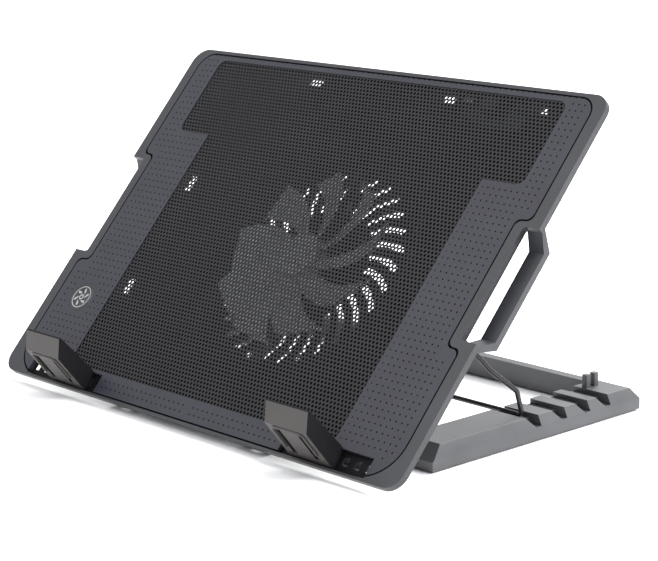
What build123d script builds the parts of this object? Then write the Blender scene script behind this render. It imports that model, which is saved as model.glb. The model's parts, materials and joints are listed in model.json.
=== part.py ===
"""Laptop cooling pad: a tilting mesh-topped panel with one large fan, propped on a notched base frame.

Units are millimetres. +X is to the user's right, +Y points away from the user and +Z is up. The pad
stands on Z = 0, and the origin is under the middle of its bounding box. Panel parts are drawn on planes
parallel to the tilted top surface: there X runs along the front edge and Y runs up the slope.
"""

import os
from math import cos, radians, sin

from build123d import *

# ---------------------------------------------------------------- driving dimensions
panel_width = 360
panel_depth = 254
panel_tilt = 48
panel_front = (-103.1, 5.5)  # Y and Z of the top surface's front edge
rim_thickness = 4.0
rim_corner = 11
cover_thickness = 2.4
cover_front_corner, cover_rear_corner = 24, 11
mesh_thickness = 0.6
mesh_recess = 0.5
wall = 1.6

mesh_narrow, mesh_wide = 121.7, 152  # half widths of the mesh window, lower part and upper wings
mesh_bottom, mesh_step, mesh_top = 16.4, 190, 247

grip_inner, grip_low, grip_high = 168.5, 91, 166  # side hand grips: inner edge, and ends up the slope
grip_drop = 12.5

tray_depth = 7
pod_depth = 30
pod_radius, pod_mouth = 72, 100  # radius of the fan pod's floor, and of its mouth in the tray
fan_centre = (0, 127)
fan_radius = 58
hub_radius = 15.5
hub_top = 12.5
blade_count = 9
slot_count = 30
slot_width = 4.4

hinge_slope, hinge_depth = 5.5, 5.5  # hinge axis, up the slope from the front edge and below the surface
hinge_pin_radius = 1.6
hinge_x, lug_half, ear_width = 62, 5, 4.7
knuckle_radius, knuckle_relief = 3.9, 4.3
running_gap = 0.05
body_gap = 0.3

leg_outer, leg_inner = 160, 130.5
leg_front, leg_rear = 48, 222  # measured from the panel's front edge
leg_height, leg_wall = 14, 7.2
base_clearance = 0.6
notch_outer, notch_inner = 8.0, 11.1  # height of the notch floor, through the chamfer and under the bar

wire_radius = 1.5
bar_position = (131.8, 12.9)  # Y from the panel's front edge, and Z, of the prop's cross bar
prop_pivot_slope, prop_pivot_depth = 110, 10
clamp_x, clamp_width = 114.5, 9

stopper_centre = 112.5
stopper_width = 34
track_inner, track_outer = 85.5, 155  # stopper track, from the centre line
track_front, track_back = 1.9, 14.2
track_floor = 3.4

# ---------------------------------------------------------------- planes and places
front_y, front_z = panel_front
panel = Plane(
    origin=(0, front_y, front_z),
    x_dir=(1, 0, 0),
    z_dir=(0, -sin(radians(panel_tilt)), cos(radians(panel_tilt))),
)


def level(depth):
    """The plane parallel to the panel's top surface, this far below it."""
    return panel.offset(-depth)


def on_panel(across, up_slope, depth=0.0):
    """The point at this place across and up the slope, this far below the top surface."""
    return panel.from_local_coords(Vector(across, up_slope, -depth))


def side_plane(across):
    """A plane across the X axis whose X runs up the slope and whose Y runs out of the top surface."""
    return Plane(origin=on_panel(across, 0), x_dir=panel.y_dir, z_dir=(1, 0, 0))


hinge_axis = on_panel(0, hinge_slope, hinge_depth)
prop_pivot = on_panel(0, prop_pivot_slope, prop_pivot_depth)
bar_y = front_y + bar_position[0]
bar_z = bar_position[1]


def fan_level(depth):
    """The plane centred on the fan's axis, this far below the top surface."""
    return Plane(origin=on_panel(*fan_centre, depth), x_dir=(1, 0, 0), z_dir=panel.z_dir)


def fan_station(radius, angle, depth):
    """A plane facing out from the fan's axis: its X runs round the fan and its Y along the axis."""
    across, up_slope = cos(radians(angle)), sin(radians(angle))
    return Plane(
        origin=on_panel(fan_centre[0] + radius * across, fan_centre[1] + radius * up_slope, depth),
        x_dir=panel.y_dir * across - panel.x_dir * up_slope,
        z_dir=panel.x_dir * across + panel.y_dir * up_slope,
    )


def finish(part, label):
    """Name the piece and write it as a STEP file."""
    part.part.label = label
    export_step(part.part, f"parts/{label}.step")


os.makedirs("parts", exist_ok=True)


# ---------------------------------------------------------------- outlines
def window_outline(grow):
    """Half-symmetric stepped outline of the mesh window, grown by this much all round."""
    narrow, wide = mesh_narrow + grow, mesh_wide + grow
    low, step, high = mesh_bottom - grow, mesh_step - grow, mesh_top + grow
    with BuildSketch() as outline:
        with BuildLine():
            Polyline(
                (-narrow, low), (narrow, low), (narrow, step), (wide, step), (wide, high),
                (-wide, high), (-wide, step), (-narrow, step), close=True,
            )
        make_face()
        outer = outline.vertices().filter_by(lambda v: v.Y > step + 1 or v.Y < step - 1 or abs(v.X) > narrow + 1)
        inner = outline.vertices().filter_by(lambda v: abs(v.Y - step) < 1 and abs(v.X) < narrow + 1)
        fillet(outer, 6)
        fillet(inner, 7)
    return outline.sketch


def cover_outline(grow=0.0):
    """Outline of the raised cover plate, which steps in beside the two hand grips."""
    wide, narrow = 171 + grow, 160.7 + grow
    low, high = 2.6 - grow, panel_depth - 3.5 + grow
    below, above = grip_low - 5.5 + grow, grip_high + 3.5 - grow
    with BuildSketch() as outline:
        with BuildLine():
            Polyline(
                (-wide, low), (wide, low), (wide, below), (narrow, below), (narrow, above), (wide, above),
                (wide, high), (-wide, high), (-wide, above), (-narrow, above), (-narrow, below),
                (-wide, below), close=True,
            )
        make_face()
        fillet(outline.vertices().filter_by(lambda v: below - 1 < v.Y < above + 1), 4.5)
        fillet(outline.vertices().filter_by(lambda v: v.Y < low + 1), cover_front_corner + grow)
        fillet(outline.vertices().filter_by(lambda v: v.Y > high - 1), cover_rear_corner + grow)
    return outline.sketch


def rim_outline():
    """Outer edge of the panel, with the two hand grips cut away."""
    with BuildSketch() as outline:
        with Locations((0, panel_depth / 2)):
            RectangleRounded(panel_width, panel_depth, rim_corner)
        with Locations((panel_width / 2, (grip_low + grip_high) / 2), (-panel_width / 2, (grip_low + grip_high) / 2)):
            Rectangle(2 * (panel_width / 2 - grip_inner), grip_high - grip_low, mode=Mode.SUBTRACT)
        corners = outline.vertices().filter_by(lambda v: abs(abs(v.X) - grip_inner) < 0.1)
        fillet(corners, 3)
    return outline.sketch


# ---------------------------------------------------------------- bottom shell
snap_windows = [(-118, 156, 7, 12), (-118, 77, 7, 12), (-60, 242.5, 12, 6), (57.5, 242.5, 11, 6), (132, 243, 8, 5)]
socket_pitch = 9
socket_count = 8
pocket = (63, 125, 226, 252)  # electronics pocket: X from, X to, slope from, slope to
pocket_depth = 12
pocket_centre = ((pocket[0] + pocket[1]) / 2, (pocket[2] + pocket[3]) / 2)
port_level = 9.2  # depth of the circuit board's upper face, which the sockets stand on
inlet_x, port_x, switch_x = 73, 92, 113
cover_screw_places = [(-160, 20), (160, 20), (-165, 242), (165, 242), (-142, 180), (142, 180)]
motor_screw_circle = 12.5
track_centre = (track_inner + track_outer) / 2
vent_arc = ThreePointArc(
    (43.4, 0),
    (55.2 * cos(radians(4.4)), -55.2 * sin(radians(4.4))),
    (65.6 * cos(radians(11)), -65.6 * sin(radians(11))),
)

with BuildPart() as bottom_shell:
    # rim plate, tray under the mesh, fan pod, stopper channels and electronics pocket
    with BuildSketch(level(rim_thickness)):
        add(rim_outline())
    extrude(amount=rim_thickness)
    with BuildSketch(level(tray_depth)):
        add(window_outline(3))
    extrude(amount=tray_depth - cover_thickness)
    with BuildSketch(fan_level(pod_depth)):
        Circle(pod_radius)
    with BuildSketch(fan_level(tray_depth - wall / 2)):
        Circle(pod_mouth)
    loft()
    with BuildSketch(level(pocket_depth)):
        with Locations(pocket_centre):
            Rectangle(pocket[1] - pocket[0], pocket[3] - pocket[2])
    extrude(amount=pocket_depth - cover_thickness)
    for side in (-1, 1):
        with BuildSketch(level(track_floor + wall)):
            with Locations((side * track_centre, (track_front + track_back + 1.5) / 2)):
                RectangleRounded(track_outer - track_inner + 4, track_back - track_front + 4, 1)
        extrude(amount=wall)
        with BuildSketch(side_plane(side * (hinge_x - lug_half))):
            with Locations((hinge_slope, -hinge_depth)):
                Circle(knuckle_radius)
        extrude(amount=side * 2 * lug_half)
    # pocket that the cover plate drops into, leaving the dark groove round it
    with BuildSketch(level(cover_thickness)):
        add(cover_outline(1.1))
    extrude(amount=cover_thickness + 1, mode=Mode.SUBTRACT)
    # hollows
    with BuildSketch(level(tray_depth - wall)):
        add(window_outline(0))
    extrude(amount=tray_depth, mode=Mode.SUBTRACT)
    with BuildSketch(fan_level(pod_depth - wall)):
        Circle(pod_radius - wall / 3)
    with BuildSketch(fan_level(tray_depth - wall)):
        Circle(pod_mouth - wall)
    loft(mode=Mode.SUBTRACT)
    with BuildSketch(level(pocket_depth - wall)):
        with Locations(pocket_centre):
            Rectangle(pocket[1] - pocket[0] - 2 * wall, pocket[3] - pocket[2] - 2 * wall)
    extrude(amount=pocket_depth - wall - cover_thickness, mode=Mode.SUBTRACT)
    # stopper tracks, undercut along the back, with their row of square sockets
    for side in (-1, 1):
        with BuildSketch(level(track_floor)):
            with Locations((side * track_centre, (track_front + track_back) / 2 + 0.4)):
                Rectangle(track_outer - track_inner, track_back - track_front + 0.8)
        extrude(amount=track_floor - cover_thickness, mode=Mode.SUBTRACT)
        with BuildSketch(level(track_floor)):
            with Locations((side * track_centre, (track_front + track_back) / 2)):
                Rectangle(track_outer - track_inner, track_back - track_front)
        extrude(amount=tray_depth, mode=Mode.SUBTRACT)
        with BuildSketch(level(track_floor + wall)):
            with Locations((side * (track_centre + 0.25), 8.6)):
                with GridLocations(socket_pitch, 1, socket_count, 1):
                    Rectangle(5, 5.2)
        extrude(amount=wall, mode=Mode.SUBTRACT)
    # swirl of curved vents under the fan
    with BuildSketch(fan_level(pod_depth)):
        with PolarLocations(0, slot_count, start_angle=7.5):
            SlotArc(vent_arc, slot_width)
    extrude(amount=wall, mode=Mode.SUBTRACT)
    # snap windows in the tray floor
    with BuildSketch(level(tray_depth)):
        for across, up_slope, width, length in snap_windows:
            with Locations((across, up_slope)):
                Rectangle(width, length)
    extrude(amount=wall, mode=Mode.SUBTRACT)
    # hand grips: a strap below the cut-away rim, joined to it by two sloping ends
    for side in (-1, 1):
        strap_x = side * (grip_inner + 0.5)
        with BuildSketch(side_plane(strap_x)):
            with BuildLine():
                Polyline(
                    (grip_low - 3, 0), (grip_low - 3, -rim_thickness), (grip_low + 6, -grip_drop - rim_thickness),
                    (grip_high - 6, -grip_drop - rim_thickness), (grip_high + 2, -rim_thickness), (grip_high + 2, 0),
                    (grip_high - 1, 0), (grip_high - 1, -rim_thickness + 0.5), (grip_high - 9, -grip_drop),
                    (grip_low + 9, -grip_drop), (grip_low + 0.5, -rim_thickness + 0.5), (grip_low + 0.5, 0),
                    close=True,
                )
            make_face()
        extrude(amount=side * (panel_width / 2) - strap_x)
    # hinge bores, and round reliefs for the ears of the base
    for side in (-1, 1):
        with BuildSketch(side_plane(side * (hinge_x - lug_half))):
            with Locations((hinge_slope, -hinge_depth)):
                Circle(hinge_pin_radius)
        extrude(amount=side * 2 * lug_half, mode=Mode.SUBTRACT)
        for start in (hinge_x - lug_half - ear_width - 2 * body_gap, hinge_x + lug_half):
            with BuildSketch(side_plane(side * start)):
                with Locations((hinge_slope, -hinge_depth)):
                    Circle(knuckle_relief)
            extrude(amount=side * (ear_width + 2 * body_gap), mode=Mode.SUBTRACT)
    # screw holes for the cover and the fan
    with BuildSketch(level(rim_thickness)):
        with Locations(*cover_screw_places):
            Circle(1.6)
    extrude(amount=rim_thickness, mode=Mode.SUBTRACT)
    with BuildSketch(fan_level(pod_depth)):
        with PolarLocations(motor_screw_circle, 4, start_angle=45):
            Circle(1.6)
    extrude(amount=wall, mode=Mode.SUBTRACT)
    # openings for the sockets and the switch in the top edge
    for across, depth, width, height in ((inlet_x, 7.2, 8.6, 4.6), (port_x, 6.4, 14, 6.4), (switch_x, 7.2, 9.4, 3.2)):
        with BuildSketch(Plane(origin=on_panel(across, 256, depth), x_dir=(1, 0, 0), z_dir=panel.y_dir)):
            Rectangle(width, height)
        extrude(amount=-8, mode=Mode.SUBTRACT)
finish(bottom_shell, "bottom_shell")

# ---------------------------------------------------------------- top cover, mesh and badge
with BuildPart() as top_cover:
    with BuildSketch(level(cover_thickness)):
        add(cover_outline())
        add(window_outline(0), mode=Mode.SUBTRACT)
        for side in (-1, 1):
            with Locations((side * track_centre, track_back - 10)):
                Rectangle(track_outer - track_inner, 20, mode=Mode.SUBTRACT)
    extrude(amount=cover_thickness)
    with BuildSketch(level(cover_thickness)):
        add(window_outline(1.1))
    extrude(amount=cover_thickness - mesh_recess, mode=Mode.SUBTRACT)
    with BuildSketch(level(0.6)):
        with Locations((-147, 60)):
            Circle(10)
    extrude(amount=0.6, mode=Mode.SUBTRACT)
    for side in (-1, 1):
        for start in (hinge_x - lug_half - ear_width - 2 * body_gap, hinge_x + lug_half):
            with BuildSketch(side_plane(side * start)):
                with Locations((hinge_slope, -hinge_depth)):
                    Circle(knuckle_relief)
            extrude(amount=side * (ear_width + 2 * body_gap), mode=Mode.SUBTRACT)
    with BuildSketch(level(cover_thickness)):
        with Locations(*cover_screw_places):
            Circle(1.1)
    extrude(amount=1.6, mode=Mode.SUBTRACT)
finish(top_cover, "top_cover")

with BuildPart() as mesh_grille:
    with BuildSketch(level(mesh_recess + mesh_thickness)):
        add(window_outline(1.1))
    extrude(amount=mesh_thickness)
finish(mesh_grille, "mesh_grille")

with BuildPart() as badge_disc:
    with BuildSketch(level(0.6)):
        with Locations((-147, 60)):
            Circle(10)
    extrude(amount=0.6)
finish(badge_disc, "badge_disc")

# ---------------------------------------------------------------- fan and motor
floor_level = pod_depth - wall
strut_thickness = 3
strut_level = floor_level - strut_thickness

with BuildPart() as fan_frame:
    with BuildSketch(fan_level(floor_level)):
        Circle(17)
        Rectangle(9, 2 * (pod_radius - wall) - 1.5)
    extrude(amount=strut_thickness)
    with BuildSketch(fan_level(strut_level)):
        Circle(6.5)
    extrude(amount=0.6)
    with BuildSketch(fan_level(floor_level)):
        Circle(4.2)
    extrude(amount=floor_level - 17.2)
    with BuildSketch(fan_level(floor_level - 1.2)):
        Circle(2.6)
    extrude(amount=20, mode=Mode.SUBTRACT)
    with BuildSketch(fan_level(floor_level)):
        with PolarLocations(motor_screw_circle, 4, start_angle=45):
            Circle(1.1)
    extrude(amount=2.4, mode=Mode.SUBTRACT)
finish(fan_frame, "fan_frame")

with BuildPart() as fan_bearing:
    with BuildSketch(fan_level(floor_level - 1.2)):
        Circle(2.6)
        Circle(1.5 + running_gap, mode=Mode.SUBTRACT)
    extrude(amount=9.6)
finish(fan_bearing, "fan_bearing")

with BuildPart() as fan_shaft:
    with BuildSketch(fan_level(floor_level - 1.6)):
        Circle(1.5)
    extrude(amount=floor_level - 1.6 - hub_top - 0.8)
finish(fan_shaft, "fan_shaft")

with BuildPart() as rotor_magnet:
    with BuildSketch(fan_level(22.8)):
        Circle(hub_radius - 1.8)
        Circle(hub_radius - 3.3, mode=Mode.SUBTRACT)
    extrude(amount=7.4)
finish(rotor_magnet, "rotor_magnet")

# radius, sweep angle, chord, pitch and depth of three stations along a blade
blade_stations = [(14.6, 0, 11, 38, 18.2), (35, 9, 20, 26, 17.9), (fan_radius - 0.6, 25, 28, 20, 17.6)]

with BuildPart() as fan_rotor:
    for radius, sweep_angle, chord, pitch, depth in blade_stations:
        with BuildSketch(fan_station(radius, sweep_angle, depth)):
            SlotOverall(chord, 1.6, rotation=-pitch)
    loft()
with BuildPart() as fan_rotor_whole:
    for blade in range(blade_count):
        add(fan_rotor.part.rotate(Axis(fan_level(0).origin, panel.z_dir), 360 / blade_count * blade))
    with BuildSketch(fan_level(24.5)):
        Circle(hub_radius)
    extrude(amount=24.5 - hub_top)
    top_edge = fan_rotor_whole.edges().filter_by(GeomType.CIRCLE).sort_by(Axis(fan_level(0).origin, panel.z_dir))[-1]
    fillet(top_edge, 1.2)
    with BuildSketch(fan_level(24.5)):
        Circle(hub_radius - 1.8)
    extrude(amount=24.5 - hub_top - 2, mode=Mode.SUBTRACT)
    with BuildSketch(fan_level(24.5)):
        Circle(1.5)
    extrude(amount=24.5 - hub_top - 0.8, mode=Mode.SUBTRACT)
finish(fan_rotor_whole, "fan_rotor")

with BuildPart() as stator_core:
    with BuildSketch(fan_level(22.2)):
        Circle(6.4)
        with PolarLocations(0, 4):
            with Locations((7.5, 0)):
                Rectangle(6, 2.6)
        with PolarLocations(0, 4):
            with BuildLine():
                for radius, first, last in ((11.6, -34, 68), (10.4, 34, -68)):
                    CenterArc((0, 0), radius, first, last)
                Line((11.6 * cos(radians(34)), 11.6 * sin(radians(34))), (10.4 * cos(radians(34)), 10.4 * sin(radians(34))))
                Line((11.6 * cos(radians(34)), -11.6 * sin(radians(34))), (10.4 * cos(radians(34)), -10.4 * sin(radians(34))))
            make_face()
        Circle(4.2, mode=Mode.SUBTRACT)
    extrude(amount=4)
finish(stator_core, "stator_core")

with BuildPart() as stator_coils:
    for quarter in range(4):
        with BuildSketch(fan_station(7, 90 * quarter, 20.2)):
            RectangleRounded(5.2, 6.4, 1)
            Rectangle(2.6, 4, mode=Mode.SUBTRACT)
        extrude(amount=2.6)
finish(stator_coils, "stator_coils")

with BuildPart() as motor_board:
    with BuildSketch(fan_level(strut_level - 0.6)):
        Circle(12.6)
        Circle(4.2, mode=Mode.SUBTRACT)
    extrude(amount=1)
finish(motor_board, "motor_board")

with BuildPart() as fan_screws:
    with BuildSketch(fan_level(pod_depth)):
        with PolarLocations(motor_screw_circle, 4, start_angle=45):
            Circle(1.1)
    extrude(amount=wall + 2.4)
    with BuildSketch(fan_level(pod_depth + 1.3)):
        with PolarLocations(motor_screw_circle, 4, start_angle=45):
            Circle(2.6)
    extrude(amount=1.3)
    with BuildSketch(fan_level(pod_depth + 1.3)):
        with PolarLocations(motor_screw_circle, 4, start_angle=45):
            Rectangle(2.4, 0.6)
            Rectangle(0.6, 2.4)
    extrude(amount=0.7, mode=Mode.SUBTRACT)
finish(fan_screws, "fan_screws")

lead_radius = 1
lead_low, lead_high = strut_level - lead_radius, tray_depth - wall - lead_radius
lead_path = [
    (0, 146, lead_low), (0, 200, lead_low), (0, 223, lead_high), (60, 228, lead_high),
    (78, 231.5, lead_high), (78, 231.5, port_level),
]

with BuildPart() as fan_lead:
    with BuildLine() as lead_line:
        FilletPolyline(*[on_panel(*place) for place in lead_path], radius=2.5)
    with BuildSketch(Plane(origin=lead_line.line @ 0, z_dir=lead_line.line % 0)):
        Circle(lead_radius)
    sweep(path=lead_line.line)
finish(fan_lead, "fan_lead")

# ---------------------------------------------------------------- board, sockets and switch
with BuildPart() as usb_board:
    with BuildSketch(level(pocket_depth - wall)):
        with Locations((pocket_centre[0], pocket_centre[1] + 0.5)):
            Rectangle(56, 20)
    extrude(amount=pocket_depth - wall - port_level)
finish(usb_board, "usb_board")

with BuildPart() as usb_port:
    with BuildSketch(level(port_level)):
        with Locations((port_x, 244.2)):
            Rectangle(13.2, 14)
    extrude(amount=5.6)
    with BuildSketch(Plane(origin=on_panel(port_x, 251.2, port_level - 2.8), x_dir=(1, 0, 0), z_dir=panel.y_dir)):
        Rectangle(12.2, 4.6)
    extrude(amount=-12.5, mode=Mode.SUBTRACT)
    with BuildSketch(Plane(origin=on_panel(port_x, 250.4, port_level - 3.9), x_dir=(1, 0, 0), z_dir=panel.y_dir)):
        Rectangle(11, 1.6)
    extrude(amount=-13)
finish(usb_port, "usb_port")

with BuildPart() as usb_inlet:
    with BuildSketch(level(port_level)):
        with Locations((inlet_x, 246.5)):
            Rectangle(7.7, 9.4)
    extrude(amount=3.9)
    with BuildSketch(Plane(origin=on_panel(inlet_x, 251.2, port_level - 1.95), x_dir=(1, 0, 0), z_dir=panel.y_dir)):
        Rectangle(6.9, 3.1)
    extrude(amount=-7.5, mode=Mode.SUBTRACT)
    with BuildSketch(Plane(origin=on_panel(inlet_x, 250.4, port_level - 1.95), x_dir=(1, 0, 0), z_dir=panel.y_dir)):
        Rectangle(4.8, 0.9)
    extrude(amount=-8)
finish(usb_inlet, "usb_inlet")

switch_travel = 3
with BuildPart() as switch_body:
    with BuildSketch(level(port_level)):
        with Locations((switch_x, 245.6)):
            Rectangle(9, 8)
    extrude(amount=4)
    with BuildSketch(Plane(origin=on_panel(switch_x, 249.6, port_level - 2), x_dir=(1, 0, 0), z_dir=panel.y_dir)):
        Rectangle(7.4, 2.2)
    extrude(amount=-3, mode=Mode.SUBTRACT)
finish(switch_body, "switch_body")

with BuildPart() as switch_knob:
    knob_x = switch_x - switch_travel / 2
    with BuildSketch(Plane(origin=on_panel(knob_x, 247, port_level - 2), x_dir=(1, 0, 0), z_dir=panel.y_dir)):
        Rectangle(3.4, 2.1)
    extrude(amount=6.4)
    for step in (-0.9, 0, 0.9):
        with BuildSketch(Plane(origin=on_panel(knob_x + step, 253, port_level - 2), x_dir=(1, 0, 0), z_dir=panel.y_dir)):
            Rectangle(0.4, 2.1)
        extrude(amount=0.4, mode=Mode.SUBTRACT)
finish(switch_knob, "switch_knob")

# ---------------------------------------------------------------- sliding stoppers
sheet = 1.8
for label, side in (("stopper_left", -1), ("stopper_right", 1)):
    with BuildPart() as stopper:
        near = side * stopper_centre - stopper_width / 2
        with BuildSketch(side_plane(near)):
            with BuildLine():
                Polyline(
                    (2.2, -1.8), (7, 27.5), (17, 34.6), (18.3, 34), (15.4, 0.4), (13.9, 0.4), (13.9, -1.8),
                    close=True,
                )
            make_face()
        extrude(amount=stopper_width)
        with BuildSketch(side_plane(near + sheet)):
            with BuildLine():
                Polyline((4.3, -0.4), (8.6, 26.4), (20, 34), (24, 20), (20, -0.4), close=True)
            make_face()
        extrude(amount=stopper_width - 2 * sheet, mode=Mode.SUBTRACT)
        # foot that runs in the track, with a flange under the cover's edge
        with BuildSketch(side_plane(near)):
            with BuildLine():
                Polyline(
                    (2.2, -1.8), (2.2, -3.1), (14.7, -3.1), (14.7, -2.7), (13.9, -2.7), (13.9, -0.4),
                    (4, -0.4), close=True,
                )
            make_face()
        extrude(amount=stopper_width)
        # two long slots beside a tongue
        for across, top in ((-9, 25), (9, 27)):
            with BuildSketch(Plane(origin=on_panel(side * stopper_centre + across, 4, -3), x_dir=(1, 0, 0), z_dir=-panel.y_dir)):
                with Locations((0, (top - 3) / 2)):
                    Rectangle(3.5, top - 3)
            extrude(amount=5, both=True, mode=Mode.SUBTRACT)
    finish(stopper, label)

# ---------------------------------------------------------------- base frame
def leg_section(side):
    """Cross section of one leg, with the outer edge chamfered."""
    return [
        (side * leg_inner, base_clearance), (side * leg_outer, base_clearance), (side * leg_outer, leg_wall),
        (side * (leg_outer - 3.2), leg_height), (side * leg_inner, leg_height),
    ]


notch_walls = [136, 158, 178, 196]
foot_places = [(side * 145, y) for side in (-1, 1) for y in (60, 124, 200)]

with BuildPart() as base_frame:
    for side in (-1, 1):
        with BuildSketch(Plane(origin=(0, front_y + leg_rear, 0), x_dir=(1, 0, 0), z_dir=(0, -1, 0))):
            with BuildLine():
                Polyline(*leg_section(side), close=True)
            make_face()
        extrude(amount=leg_rear - leg_front)
    # rear crossbar, front crossbar and the two pieces that join it to the legs
    for half, low, high, top in ((leg_inner + 2, 209, leg_rear, leg_height), (leg_inner + 2, 26, 40, 10)):
        with BuildSketch(Plane.XY.offset(base_clearance)):
            with Locations((0, front_y + (low + high) / 2)):
                Rectangle(2 * half, high - low)
        extrude(amount=top - base_clearance)
    for side in (-1, 1):
        with BuildSketch(Plane.XY.offset(base_clearance)):
            with Locations((side * 125.5, front_y + 43)):
                Rectangle(15, 34)
        extrude(amount=10 - base_clearance)
    # sloping rear edge and front ends of the legs
    with BuildSketch(Plane(origin=(-200, front_y, 0), x_dir=(0, 1, 0), z_dir=(1, 0, 0))):
        with BuildLine():
            Polyline((leg_rear, leg_wall), (leg_rear + 5, leg_wall), (leg_rear + 5, 20), (leg_rear - 6, 14), close=True)
        make_face()
        with BuildLine():
            Polyline((leg_front, 6), (leg_front - 5, 6), (leg_front - 5, 20), (leg_front + 9, 14), close=True)
        make_face()
    extrude(amount=400, mode=Mode.SUBTRACT)
    # notches for the prop: a ramp down to a floor and an upright wall behind, deeper through the chamfer
    for wall_y in notch_walls:
        for side in (-1, 1):
            for start, width, floor in ((128, 22, notch_inner), (150, 12, notch_outer)):
                slope_run = (leg_height - floor) * 1.0
                with BuildSketch(Plane(origin=(side * start, front_y, 0), x_dir=(0, 1, 0), z_dir=(1, 0, 0))):
                    with BuildLine():
                        Polyline(
                            (wall_y - 10.5, leg_height + 2), (wall_y - 10.5, leg_height),
                            (wall_y - 10.5 + slope_run, floor), (wall_y, floor), (wall_y, leg_height + 2), close=True,
                        )
                    make_face()
                extrude(amount=side * width, mode=Mode.SUBTRACT)
    # posts behind the last notch
    with BuildSketch(Plane.XY.offset(leg_height)):
        with Locations(*[(side * 138, front_y + y) for side in (-1, 1) for y in (199, 206)]):
            RectangleRounded(4, 4, 0.8)
    extrude(amount=8)
    # arms and ears of the hinges
    for side in (-1, 1):
        for start in (hinge_x - lug_half - body_gap - ear_width, hinge_x + lug_half + body_gap):
            with BuildSketch(Plane(origin=(side * start, 0, 0), x_dir=(0, 1, 0), z_dir=(1, 0, 0))):
                with Locations((hinge_axis.Y, hinge_axis.Z)):
                    Circle(knuckle_radius)
                with BuildLine():
                    Polyline(
                        (hinge_axis.Y, hinge_axis.Z - 3.8), (hinge_axis.Y + 6, 1), (front_y + 27, 1),
                        (front_y + 27, hinge_axis.Z + 2.6), (hinge_axis.Y, hinge_axis.Z + 2.6), close=True,
                    )
                make_face()
                with Locations((hinge_axis.Y, hinge_axis.Z)):
                    Circle(hinge_pin_radius + running_gap, mode=Mode.SUBTRACT)
            extrude(amount=side * ear_width)
    # hollow underside and pockets for the rubber feet
    with BuildSketch(Plane.XY.offset(base_clearance)):
        with Locations(*[(side * 145.2, front_y + y) for side in (-1, 1) for y in (92, 162)]):
            RectangleRounded(24, 46, 2)
        with Locations((0, front_y + 215.5)):
            RectangleRounded(230, 8, 2)
        with Locations((0, front_y + 33)):
            RectangleRounded(220, 9, 2)
    extrude(amount=5.2, mode=Mode.SUBTRACT)
    with BuildSketch(Plane.XY.offset(base_clearance)):
        with Locations(*[(x, front_y + y) for x, y in foot_places]):
            RectangleRounded(20, 10, 3)
    extrude(amount=0.8, mode=Mode.SUBTRACT)
finish(base_frame, "base_frame")

with BuildPart() as base_feet:
    with BuildSketch(Plane.XY):
        with Locations(*[(x, front_y + y) for x, y in foot_places]):
            RectangleRounded(20, 10, 3)
    extrude(amount=base_clearance + 0.8)
finish(base_feet, "base_feet")

for label, side in (("hinge_pin_left", -1), ("hinge_pin_right", 1)):
    with BuildPart() as hinge_pin:
        half = lug_half + body_gap + ear_width
        with BuildSketch(Plane(origin=(side * hinge_x - half, hinge_axis.Y, hinge_axis.Z), z_dir=(1, 0, 0))):
            Circle(hinge_pin_radius)
        extrude(amount=2 * half)
    finish(hinge_pin, label)

# ---------------------------------------------------------------- wire prop and its clamps
wire_half = [
    (148.5, bar_y, bar_z), (148, front_y + 127.7, 28), (142, front_y + 113, 41.4), (130, front_y + 94.5, 67),
    (125.5, prop_pivot.Y, prop_pivot.Z), (clamp_x - clamp_width / 2 - 1.5, prop_pivot.Y, prop_pivot.Z),
]

with BuildPart() as wire_prop:
    with BuildLine() as wire_line:
        FilletPolyline(*[(-x, y, z) for x, y, z in reversed(wire_half)], *wire_half, radius=3.5)
    with BuildSketch(Plane(origin=wire_line.line @ 0, z_dir=wire_line.line % 0)):
        Circle(wire_radius)
    sweep(path=wire_line.line)
finish(wire_prop, "wire_prop")

for label, side in (("prop_clamp_left", -1), ("prop_clamp_right", 1)):
    with BuildPart() as prop_clamp:
        with BuildSketch(side_plane(side * clamp_x)):
            with BuildLine():
                Polyline(
                    (prop_pivot_slope - 8, -tray_depth), (prop_pivot_slope - 8, -tray_depth - 2.4),
                    (prop_pivot_slope - 3.4, -prop_pivot_depth - 3.4), (prop_pivot_slope + 3.4, -prop_pivot_depth - 3.4),
                    (prop_pivot_slope + 8, -tray_depth - 2.4), (prop_pivot_slope + 8, -tray_depth), close=True,
                )
            make_face()
            with Locations((prop_pivot_slope, -prop_pivot_depth)):
                Circle(wire_radius + running_gap, mode=Mode.SUBTRACT)
        extrude(amount=clamp_width / 2, both=True)
        with BuildSketch(level(tray_depth + 3)):
            with Locations((side * clamp_x, prop_pivot_slope - 5.6), (side * clamp_x, prop_pivot_slope + 5.6)):
                Circle(0.9)
        extrude(amount=3, mode=Mode.SUBTRACT)
    finish(prop_clamp, label)

with BuildPart() as clamp_screws:
    places = [(side * clamp_x, prop_pivot_slope + step) for side in (-1, 1) for step in (-5.6, 5.6)]
    with BuildSketch(level(tray_depth + 2.4)):
        with Locations(*places):
            Circle(0.9)
    extrude(amount=2.4)
finish(clamp_screws, "clamp_screws")

with BuildPart() as shell_screws:
    with BuildSketch(level(rim_thickness)):
        with Locations(*cover_screw_places):
            Circle(1.1)
    extrude(amount=rim_thickness - cover_thickness + 1.6)
    with BuildSketch(level(rim_thickness + 1.2)):
        with Locations(*cover_screw_places):
            Circle(2.6)
    extrude(amount=1.2)
    with BuildSketch(level(rim_thickness + 1.2)):
        with Locations(*cover_screw_places):
            Rectangle(2.4, 0.6)
            Rectangle(0.6, 2.4)
    extrude(amount=0.7, mode=Mode.SUBTRACT)
finish(shell_screws, "shell_screws")
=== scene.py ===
import json
from math import cos, hypot, pi, radians, sin, sqrt

import bmesh
import bpy
from mathutils import Matrix, Vector

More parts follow.
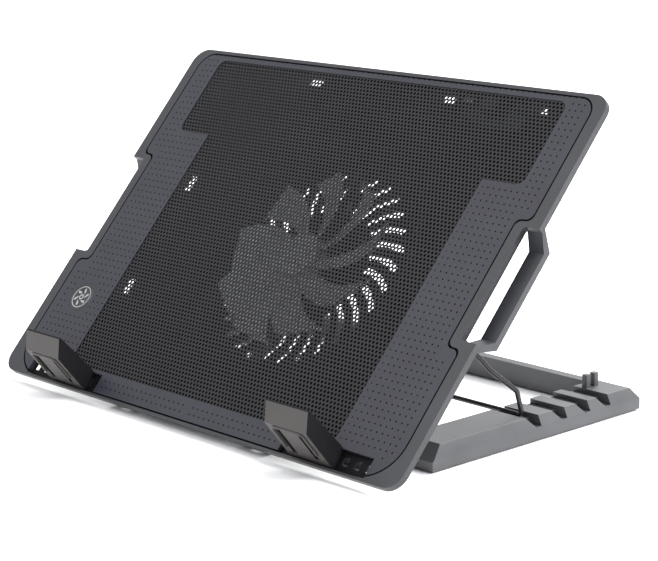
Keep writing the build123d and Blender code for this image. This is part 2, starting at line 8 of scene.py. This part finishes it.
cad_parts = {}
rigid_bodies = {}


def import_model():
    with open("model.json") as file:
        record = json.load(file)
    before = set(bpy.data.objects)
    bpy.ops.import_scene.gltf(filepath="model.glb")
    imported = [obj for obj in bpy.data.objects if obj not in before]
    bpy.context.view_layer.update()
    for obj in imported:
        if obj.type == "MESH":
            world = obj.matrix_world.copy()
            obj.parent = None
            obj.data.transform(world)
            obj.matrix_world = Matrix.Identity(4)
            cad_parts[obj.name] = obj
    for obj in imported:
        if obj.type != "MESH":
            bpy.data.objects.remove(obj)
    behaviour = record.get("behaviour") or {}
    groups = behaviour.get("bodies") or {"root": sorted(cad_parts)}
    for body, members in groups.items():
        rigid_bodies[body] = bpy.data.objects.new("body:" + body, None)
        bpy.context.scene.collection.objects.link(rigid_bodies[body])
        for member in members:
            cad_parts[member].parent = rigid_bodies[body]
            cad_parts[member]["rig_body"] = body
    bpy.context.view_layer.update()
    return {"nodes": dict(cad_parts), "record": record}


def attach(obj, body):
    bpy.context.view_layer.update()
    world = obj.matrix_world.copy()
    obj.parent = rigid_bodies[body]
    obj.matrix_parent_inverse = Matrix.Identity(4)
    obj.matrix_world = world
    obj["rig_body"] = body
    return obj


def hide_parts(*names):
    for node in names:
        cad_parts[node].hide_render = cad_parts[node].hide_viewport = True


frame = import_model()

nodes = frame["nodes"]
MM = 0.001

# ---------------------------------------------------------------- places
# Panel millimetres: X across from the middle, Y up the slope from the front edge, Z out of the top surface.
TILT = radians(48)
FRONT_Y, FRONT_Z = -103.1, 5.5
MESH_NARROW, MESH_WIDE = 122.7, 152.9  # half widths of the mesh, below and above its step
MESH_LOW, MESH_MIDDLE, MESH_STEP, MESH_HIGH = 15.4, 102.2, 189.0, 248.0
MESH_TOP, MESH_UNDER = -0.5, -1.1
BADGE_PLACE = (-147, 60)
STOPPER_MIDDLE = 112.5
panel_matrix = Matrix((
    (MM, 0, 0, 0),
    (0, cos(TILT) * MM, -sin(TILT) * MM, FRONT_Y * MM),
    (0, sin(TILT) * MM, cos(TILT) * MM, FRONT_Z * MM),
    (0, 0, 0, 1),
))


# ---------------------------------------------------------------- camera, floor and light
def add_camera():
    """A long lens from the front right, a little above the pad."""
    place = (0.9460, -0.8411, 0.3580)
    sensor, lens = 36, 117.5362
    yaw, pitch, roll = radians(47.80), radians(-12.69), radians(-0.97)
    forward = Vector((-sin(yaw) * cos(pitch), cos(yaw) * cos(pitch), sin(pitch)))
    level_right = Vector((cos(yaw), sin(yaw), 0))
    level_up = level_right.cross(forward)
    right = level_right * cos(roll) + level_up * sin(roll)
    up = level_up * cos(roll) - level_right * sin(roll)
    data = bpy.data.cameras.new("camera")
    data.sensor_width = sensor
    data.lens = lens
    data.clip_end = 20
    camera = bpy.data.objects.new("camera", data)
    bpy.context.scene.collection.objects.link(camera)
    camera.matrix_world = Matrix((
        (right.x, up.x, -forward.x, place[0]),
        (right.y, up.y, -forward.y, place[1]),
        (right.z, up.z, -forward.z, place[2]),
        (0, 0, 0, 1),
    ))
    bpy.context.scene.camera = camera


def add_light(name, place, aim, size, power, colour=(1, 1, 1)):
    """A rectangular lamp at a place in metres, aimed at a point."""
    data = bpy.data.lights.new(name, "AREA")
    data.shape = "RECTANGLE"
    data.size, data.size_y = size
    data.energy = power
    data.color = colour
    light = bpy.data.objects.new(name, data)
    bpy.context.scene.collection.objects.link(light)
    light.location = place
    light.rotation_euler = (Vector(aim) - Vector(place)).to_track_quat("-Z", "Y").to_euler()


def add_stage():
    """A pale paper floor, a white surround and three soft lamps."""
    bpy.context.scene.view_settings.view_transform = "Standard"
    world = bpy.data.worlds.new("studio")
    bpy.context.scene.world = world
    world.use_nodes = True
    world.node_tree.nodes["Background"].inputs["Color"].default_value = (0.93, 0.94, 0.96, 1)
    world.node_tree.nodes["Background"].inputs["Strength"].default_value = 1.0
    bm = bmesh.new()
    bmesh.ops.create_grid(bm, x_segments=1, y_segments=1, size=4)
    mesh = bpy.data.meshes.new("floor")
    bm.to_mesh(mesh)
    floor = bpy.data.objects.new("floor", mesh)
    bpy.context.scene.collection.objects.link(floor)
    floor_gap = 0.0003
    floor.location.z = -floor_gap
    material = bpy.data.materials.new("floor_paper")
    material.use_nodes = True
    shader = material.node_tree.nodes["Principled BSDF"]
    shader.inputs["Base Color"].default_value = (0.9, 0.9, 0.9, 1)
    shader.inputs["Roughness"].default_value = 0.9
    mesh.materials.append(material)
    add_light("key", (-0.5, -0.9, 1.5), (0, 0, 0.1), (1.0, 0.8), 8)
    add_light("side", (1.2, 0.4, 1.0), (0.15, 0, 0.08), (0.7, 0.7), 22, (0.95, 0.96, 1.0))
    add_light("back", (0.1, 1.35, 1.33), (0, -0.07, 0), (1.6, 0.6), 75)


# ---------------------------------------------------------------- materials
def surface(name, colour, rough, metal=0.0, grain=2500, bump=0.25, depth=0.00006, mottle=0.12, coat=0.0,
            gloss=0.5):
    """A moulded, painted or metal surface: fine grain in the bump, slow variation in colour and gloss."""
    material = bpy.data.materials.new(name)
    material.use_nodes = True
    tree = material.node_tree
    shader = tree.nodes["Principled BSDF"]
    shader.inputs["Metallic"].default_value = metal
    shader.inputs["Coat Weight"].default_value = coat
    shader.inputs["Specular IOR Level"].default_value = gloss
    place = tree.nodes.new("ShaderNodeTexCoord")

    def noise(scale, detail):
        node = tree.nodes.new("ShaderNodeTexNoise")
        node.inputs["Scale"].default_value = scale
        node.inputs["Detail"].default_value = detail
        tree.links.new(place.outputs["Object"], node.inputs["Vector"])
        return node

    slow_scale = 38
    slow, fine = noise(slow_scale, 3), noise(grain, 2)
    ramp = tree.nodes.new("ShaderNodeValToRGB")
    ramp.color_ramp.elements[0].position, ramp.color_ramp.elements[1].position = 0.3, 0.7
    ramp.color_ramp.elements[0].color = (*[c * (1 - mottle) for c in colour], 1)
    ramp.color_ramp.elements[1].color = (*[min(1, c * (1 + mottle)) for c in colour], 1)
    tree.links.new(slow.outputs["Fac"], ramp.inputs["Fac"])
    tree.links.new(ramp.outputs["Color"], shader.inputs["Base Color"])
    spread = tree.nodes.new("ShaderNodeMapRange")
    rough_swing = 0.07
    spread.inputs["To Min"].default_value = max(0.04, rough - rough_swing)
    spread.inputs["To Max"].default_value = min(1, rough + rough_swing)
    tree.links.new(fine.outputs["Fac"], spread.inputs["Value"])
    tree.links.new(spread.outputs["Result"], shader.inputs["Roughness"])
    relief = tree.nodes.new("ShaderNodeBump")
    relief.inputs["Strength"].default_value = bump
    relief.inputs["Distance"].default_value = depth
    tree.links.new(fine.outputs["Fac"], relief.inputs["Height"])
    tree.links.new(relief.outputs["Normal"], shader.inputs["Normal"])
    return material


looks = {
    "black_shell": surface("shell_plastic", (0.026, 0.027, 0.031), 0.40, grain=1800, bump=0.35),
    "black_cover": surface("cover_plastic", (0.020, 0.020, 0.030), 0.40, grain=1500, bump=0.4, gloss=0.45),
    "black_mesh": surface("mesh_paint", (0.013, 0.013, 0.015), 0.45, grain=3000, bump=0.2, gloss=0.3),
    # painted shade: this black stands for the shade in the cover's pits, inside the shell and on the stopper
    # walls
    "painted_shade_black": surface("painted_shade_plastic", (0.006, 0.006, 0.007), 0.7, grain=1800, bump=0.3, gloss=0.15),
    "base_plastic": surface("base_plastic", (0.060, 0.061, 0.064), 0.45, grain=1500, bump=0.4),
    "port_steel": surface("port_steel", (0.06, 0.06, 0.065), 0.5, metal=0.8, grain=2600, bump=0.12),
    "badge": surface("badge_ink", (0.020, 0.020, 0.022), 0.30, grain=2200, bump=0.15),
    "badge_line": surface("badge_line", (0.42, 0.42, 0.43), 0.35, metal=0.3, grain=2200, bump=0.1),
    "fan_grey": surface("fan_plastic", (0.74, 0.75, 0.77), 0.35, grain=1600, bump=0.2),
    "frame_grey": surface("strut_plastic", (0.020, 0.020, 0.022), 0.45),
    "steel": surface("zinc_steel", (0.60, 0.61, 0.63), 0.32, metal=1.0, grain=2600, bump=0.12),
    "bronze": surface("bush_bronze", (0.55, 0.36, 0.18), 0.40, metal=1.0),
    "magnet": surface("magnet_ferrite", (0.05, 0.05, 0.055), 0.55, metal=0.3),
    "lamination": surface("core_steel", (0.30, 0.31, 0.33), 0.45, metal=0.9),
    "enamel_wire": surface("coil_enamel", (0.50, 0.17, 0.06), 0.25, metal=0.8, grain=1200, bump=0.6),
    "board_green": surface("board_lacquer", (0.012, 0.022, 0.016), 0.30, grain=900, bump=0.2, coat=0.3),
    "lead_black": surface("lead_vinyl", (0.012, 0.012, 0.013), 0.38),
    "stopper_brown": surface("stopper_plastic", (0.034, 0.029, 0.027), 0.40, grain=1500, bump=0.3),
    "rubber": surface("foot_rubber", (0.014, 0.014, 0.014), 0.75, grain=1400, bump=0.5, gloss=0.25),
    "wire_black": surface("wire_paint", (0.016, 0.016, 0.018), 0.28, metal=0.2, grain=1500, bump=0.2),
}
for part in frame["record"]["subparts"]:
    mesh = nodes[part["node"]].data
    mesh.materials.clear()
    mesh.materials.append(looks[part["material_slot"]])


# ---------------------------------------------------------------- making pieces
def piece(name, bm, look, body, matrix=None, smooth_angle=35):
    """A new object from this mesh, in the row frame, riding on a body. Its material is its look."""
    if matrix is not None:
        bmesh.ops.transform(bm, matrix=matrix, verts=bm.verts)
    bmesh.ops.recalc_face_normals(bm, faces=bm.faces)
    mesh = bpy.data.meshes.new(name)
    bm.to_mesh(mesh)
    bm.free()
    obj = bpy.data.objects.new(name, mesh)
    bpy.context.scene.collection.objects.link(obj)
    mesh.materials.append(looks[look])
    if smooth_angle:
        mesh.shade_smooth()
        mesh.set_sharp_from_angle(angle=radians(smooth_angle))
    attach(obj, body)
    return obj


def settle(obj):
    """Apply the modifiers."""
    evaluated = obj.evaluated_get(bpy.context.evaluated_depsgraph_get())
    mesh = bpy.data.meshes.new_from_object(evaluated)
    obj.modifiers.clear()
    obj.data = mesh


def softened(node, width, look=None):
    """A copy of a CAD node with its edges rounded over, standing for that node."""
    source = nodes[node]
    bm = bmesh.new()
    bm.from_mesh(source.data)
    weld, flat_angle, edge_angle = 0.000004, radians(0.4), radians(32)
    bmesh.ops.remove_doubles(bm, verts=bm.verts, dist=weld)
    bmesh.ops.dissolve_limit(bm, angle_limit=flat_angle, verts=bm.verts, edges=bm.edges)
    slot = next(p["material_slot"] for p in frame["record"]["subparts"] if p["node"] == node)
    obj = piece(node + "_soft", bm, look or slot, source["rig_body"], smooth_angle=0)
    bevel = obj.modifiers.new("edges", "BEVEL")
    bevel.width = width * MM
    bevel.segments = 3
    bevel.limit_method = "ANGLE"
    bevel.angle_limit = edge_angle
    bevel.harden_normals = False
    settle(obj)
    even_shading(obj)
    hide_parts(node)
    return obj


def even_shading(obj):
    """Smooth shading that keeps large flat faces flat."""
    obj.data.shade_smooth()
    obj.data.set_sharp_from_angle(angle=radians(40))
    weighted = obj.modifiers.new("normals", "WEIGHTED_NORMAL")
    weighted.mode = "FACE_AREA"
    weighted.weight = 100
    weighted.keep_sharp = True
    settle(obj)


def repaint(obj, look, chosen):
    """Give another look to the faces whose centre and normal, in panel millimetres, are chosen."""
    obj.data.materials.append(looks[look])
    index = len(obj.data.materials) - 1
    inverse = panel_matrix.inverted()
    for face in obj.data.polygons:
        normal = (inverse.to_3x3() @ face.normal).normalized()
        if chosen(inverse @ face.center, normal):
            face.material_index = index


def bar(name, points, radius, look, body):
    """A round bar along these points, given in panel millimetres."""
    curve = bpy.data.curves.new(name, "CURVE")
    curve.dimensions = "3D"
    curve.bevel_depth = radius * MM
    curve.bevel_resolution = 4
    curve.use_fill_caps = True
    curve.resolution_u = 8
    spline = curve.splines.new("NURBS")
    spline.points.add(len(points) - 1)
    for point, place in zip(spline.points, points):
        point.co = (*(panel_matrix @ Vector(place)), 1)
    spline.order_u = 3
    spline.use_endpoint_u = True
    shape = bpy.data.objects.new(name + "_curve", curve)
    bpy.context.scene.collection.objects.link(shape)
    bpy.context.view_layer.update()
    bm = bmesh.new()
    bm.from_mesh(bpy.data.meshes.new_from_object(shape.evaluated_get(bpy.context.evaluated_depsgraph_get())))
    bpy.data.objects.remove(shape)
    return piece(name, bm, look, body)


# ---------------------------------------------------------------- perforated mesh
def hexagon(radius):
    """Six corners at this distance from the middle, the first at 30 degrees."""
    angles = [radians(30 + 60 * k) for k in range(6)]
    return [(radius * cos(angle), radius * sin(angle)) for angle in angles]


def grille(name, low, high, across):
    """Perforated sheet between two slopes and within a half width, from hexagonal cells with round holes."""
    pitch, hole = 2.92, 1.03
    row = pitch * sqrt(3) / 2
    bm = bmesh.new()
    corners = hexagon(pitch / sqrt(3))
    rim = hexagon(hole)
    made = {}

    def vertex(x, y, z):
        key = (round(x, 3), round(y, 3), z)
        if key not in made:
            made[key] = bm.verts.new((x, y, z))
        return made[key]

    first = int((low - 4) / row)
    for j in range(first, int((high + 4) / row) + 1):
        shift = pitch / 2 if j % 2 else 0
        for i in range(-int(across / pitch) - 2, int(across / pitch) + 3):
            x0, y0 = i * pitch + shift, j * row
            for k in range(6):
                n = (k + 1) % 6
                outer = [(x0 + corners[m][0], y0 + corners[m][1]) for m in (k, n)]
                inner = [(x0 + rim[m][0], y0 + rim[m][1]) for m in (n, k)]
                upper = [vertex(x, y, MESH_TOP) for x, y in outer + inner]
                lower = [vertex(x, y, MESH_UNDER) for x, y in outer + inner]
                bm.faces.new(upper)
                bm.faces.new(reversed(lower))
                bm.faces.new((lower[2], lower[3], upper[3], upper[2]))
    front, rear = ((0, low, 0), (0, -1, 0)), ((0, high, 0), (0, 1, 0))
    right, left = ((across, 0, 0), (1, 0, 0)), ((-across, 0, 0), (-1, 0, 0))
    for place, normal in (front, rear, right, left):
        cut = bmesh.ops.bisect_plane(
            bm, geom=bm.verts[:] + bm.edges[:] + bm.faces[:], dist=0.0001, plane_co=place, plane_no=normal,
            clear_outer=True,
        )
        edges = [g for g in cut["geom_cut"] if isinstance(g, bmesh.types.BMEdge) and g.is_boundary]
        bmesh.ops.holes_fill(bm, edges=edges, sides=0)
    obj = piece(name, bm, "black_mesh", "panel", panel_matrix, smooth_angle=30)
    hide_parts("mesh_grille")


# ---------------------------------------------------------------- cover with its dots
def in_cover(u, v):
    """Whether a dot at this place is on the cover's margin, clear of its openings and edges."""
    u = abs(u)
    above_step = v > MESH_STEP - 1
    if not 5.5 < v < 251.3:
        return False
    if above_step:
        return u < 168 and not (u < MESH_WIDE + 1.6 and v < MESH_HIGH)
    in_window = u < MESH_NARROW + 1.8 and v > 14.8
    in_track = 83 < u < 158 and v < 17.5
    past_corner = u > 147 and v < 26.6 and hypot(u - 147, v - 26.6) > 20
    front_gap = u <= 83 and (v < 6 or u < 3)
    beside_grip = 80 < v < 174
    if in_window or in_track or past_corner or front_gap:
        return False
    return u < (157.5 if beside_grip else 167.5)


def near_badge(u, v):
    return hypot(u - BADGE_PLACE[0], v - BADGE_PLACE[1]) < 13.5


def dot_cutter():
    """Shallow tapered pits on a square grid over the cover's margin, as one mesh."""
    bm = bmesh.new()
    across_pitch, slope_pitch, first_row = 4.45, 4.35, 6.9
    rows, half_columns, sides = 57, 38, 8
    radius, floor_radius, depth, rise = 0.68, 0.68 * 0.7, 0.4, 0.2

    def octagon(u, v, size, height):
        turns = [k * 2 * pi / sides for k in range(sides)]
        return [bm.verts.new((u + size * cos(turn), v + size * sin(turn), height)) for turn in turns]

    for j in range(rows):
        v = first_row + j * slope_pitch
        for i in range(-half_columns, half_columns + 1):
            u = i * across_pitch
            if in_cover(u, v) and not near_badge(u, v):
                ring = octagon(u, v, radius, rise)
                base = octagon(u, v, floor_radius, -depth)
                bm.faces.new(ring)
                bm.faces.new(reversed(base))
                for k in range(sides):
                    n = (k + 1) % sides
                    bm.faces.new((ring[n], ring[k], base[k], base[n]))
    bmesh.ops.transform(bm, matrix=panel_matrix, verts=bm.verts)
    bmesh.ops.recalc_face_normals(bm, faces=bm.faces)
    mesh = bpy.data.meshes.new("dots")
    bm.to_mesh(mesh)
    bm.free()
    cutter = bpy.data.objects.new("dots", mesh)
    bpy.context.scene.collection.objects.link(cutter)
    return cutter


def make_cover():
    """The cover plate with its pits cut, and painted shade in black on their insides."""
    cutter = dot_cutter()
    cover = softened("top_cover", 0.45)
    boolean = cover.modifiers.new("dots", "BOOLEAN")
    boolean.operation = "DIFFERENCE"
    boolean.object = cutter
    boolean.solver = "EXACT"
    settle(cover)
    even_shading(cover)
    # Painted shade: the pit walls and floors, below the cover's face, are painted black.
    repaint(cover, "painted_shade_black", lambda p, n: -0.5 < p.z < -0.02 and in_cover(p.x, p.y))
    bpy.data.objects.remove(cutter)


# ---------------------------------------------------------------- badge
def make_badge():
    """A dark disc with a light ring and a small fan sign."""
    bm = bmesh.new()
    profile = [(0, -0.02), (8.6, -0.02), (8.9, 0.12), (9.5, 0.12), (9.9, -0.1), (9.9, -0.55), (0, -0.55)]
    lathe(bm, profile, 96)
    matrix = panel_matrix @ Matrix.Translation((*BADGE_PLACE, 0))
    disc = piece("badge_face", bm, "badge", "panel", matrix)
    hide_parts("badge_disc")
    bm = bmesh.new()
    sign_top, sign_under, blades, steps = 0.03, -0.02, 6, 8
    for first, last in ((7.2, 7.8), (1.1, 2.0)):
        section = [(first, sign_top), (last, sign_top), (last, sign_under), (first, sign_under)]
        lathe(bm, section, 96, closed=True)
    for blade in range(blades):
        outline, back = [], []
        for t in range(steps + 1):
            r = 2.7 + 3.6 * t / steps
            angle = radians(blade * 360 / blades + 26 * t / steps)
            belly = 0.25 + 1.5 * sin(pi * t / steps)
            outline.append((r * cos(angle) - belly * sin(angle), r * sin(angle) + belly * cos(angle)))
            back.append((r * cos(angle) + 0.25 * sin(angle), r * sin(angle) - 0.25 * cos(angle)))
        outline += reversed(back)
        lower = [bm.verts.new((x, y, sign_under)) for x, y in outline]
        upper = [bm.verts.new((x, y, sign_top)) for x, y in outline]
        bm.faces.new(upper)
        bm.faces.new(reversed(lower))
        for k in range(len(outline)):
            n = (k + 1) % len(outline)
            bm.faces.new((lower[k], lower[n], upper[n], upper[k]))
    piece("badge_sign", bm, "badge_line", "panel", matrix)


def lathe(bm, profile, steps, closed=False):
    """Turn an (r, z) profile about Z. An open profile starts and ends on the axis."""
    turns = [2 * pi * k / steps for k in range(steps)]
    rings = []
    for r, z in profile:
        if r == 0:
            rings.append([bm.verts.new((0, 0, z))] * steps)
        else:
            rings.append([bm.verts.new((r * cos(turn), r * sin(turn), z)) for turn in turns])
    pairs = list(zip(rings, rings[1:] + rings[:1])) if closed else list(zip(rings, rings[1:]))
    for a, b in pairs:
        for k in range(steps):
            n = (k + 1) % steps
            face = []
            for v in (a[k], a[n], b[n], b[k]):
                if v not in face:
                    face.append(v)
            if len(face) > 2:
                bm.faces.new(face)


# ---------------------------------------------------------------- stoppers and shell
def make_shell():
    """The outer shell, with painted shade: the faces inside the tray, the pod and the tracks are painted
    deep black.
    """
    shell = softened("bottom_shell", 0.35)

    def inside(place, normal):
        return place.z < -2.2 and normal.z > -0.3 and abs(place.x) < 157 and 0.5 < place.y < 250.6

    # Painted shade: sunken faces that do not face down, inside the tray, pod and tracks, are painted black.
    repaint(shell, "painted_shade_black", inside)


def make_stopper(side, label):
    """A stopper with painted shade in black on its side walls and back, and a raised ridge round its face.
    """
    stopper = softened("stopper_" + label, 0.4)

    def wall(place, normal):
        return abs(normal.x) > 0.9 or (normal.y > 0.2 and place.y > 4)

    # Painted shade: the side walls and the back are painted black.
    repaint(stopper, "painted_shade_black", wall)
    half_ridge = [(12.2, 9), (12.2, 22), (12.2, 25.2), (9, 26.2)]
    ridge = [(-x, height) for x, height in half_ridge] + [(0, 26.2)] + half_ridge[::-1]
    face, lean, radius = 2.3, 0.164, 0.9
    route = [(side * STOPPER_MIDDLE + x, face + lean * height, height) for x, height in ridge]
    bar("stopper_ridge_" + label, route, radius, "stopper_brown", label + "_stopper")


# ---------------------------------------------------------------- build
add_camera()
add_stage()
grille("mesh_grille_lower", MESH_LOW, MESH_MIDDLE, MESH_NARROW)
grille("mesh_grille_middle", MESH_MIDDLE, MESH_STEP, MESH_NARROW)
grille("mesh_grille_upper", MESH_STEP, MESH_HIGH, MESH_WIDE)
make_cover()
make_badge()
make_shell()
softened("base_frame", 0.55, "base_plastic")
nodes["usb_port"].data.materials[0] = looks["port_steel"]
make_stopper(-1, "left")
make_stopper(1, "right")
for name, width in (("prop_clamp_left", 0.4), ("prop_clamp_right", 0.4), ("usb_board", 0.15),
                    ("switch_body", 0.2), ("switch_knob", 0.15)):
    softened(name, width)
for name in ("wire_prop", "fan_rotor", "fan_lead", "fan_shaft", "hinge_pin_left", "hinge_pin_right",
             "base_feet", "fan_frame", "fan_bearing", "stator_core", "stator_coils", "rotor_magnet",
             "motor_board"):
    nodes[name].data.shade_smooth()
    nodes[name].data.set_sharp_from_angle(angle=radians(35))
